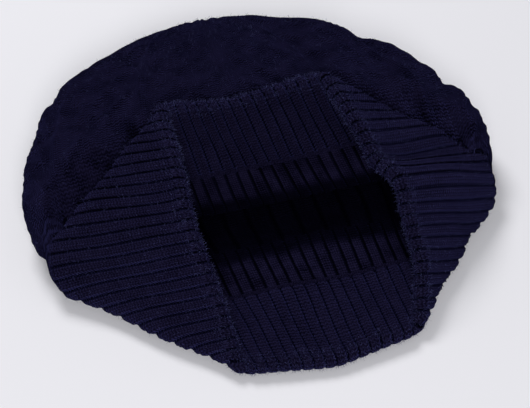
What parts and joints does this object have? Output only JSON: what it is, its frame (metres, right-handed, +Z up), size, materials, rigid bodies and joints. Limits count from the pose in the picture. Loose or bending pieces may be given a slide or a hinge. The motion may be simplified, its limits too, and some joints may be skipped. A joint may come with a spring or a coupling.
{
  "type": "cuffed rib-knit hat",
  "caption": "Soft knitted wool hat with a deep turned-up ribbed cuff and a puffy patterned crown, lying on its side with the mouth held open.",
  "frame": {"origin": "middle of the underside, on the surface the hat lies on", "axes": "+Z up; +X to the right along the line from tip to tip; +Y towards the crown, so the open mouth faces -Y and up"},
  "size_m": [0.25, 0.235, 0.0637],
  "materials": {
    "crown_knit": "brushed wool in a low travelling-rib pattern, dark navy",
    "rib_knit": "two-by-two ribbed wool, dark navy, fuzzy along its folds",
    "sewing_yarn": "single wool yarn, dark navy"
  },
  "bodies": {
    "root": {"crown_body": "crown_knit", "rib_band": "rib_knit", "linking_seam": "sewing_yarn", "crown_gather": "sewing_yarn"}
  },
  "joints": []
}
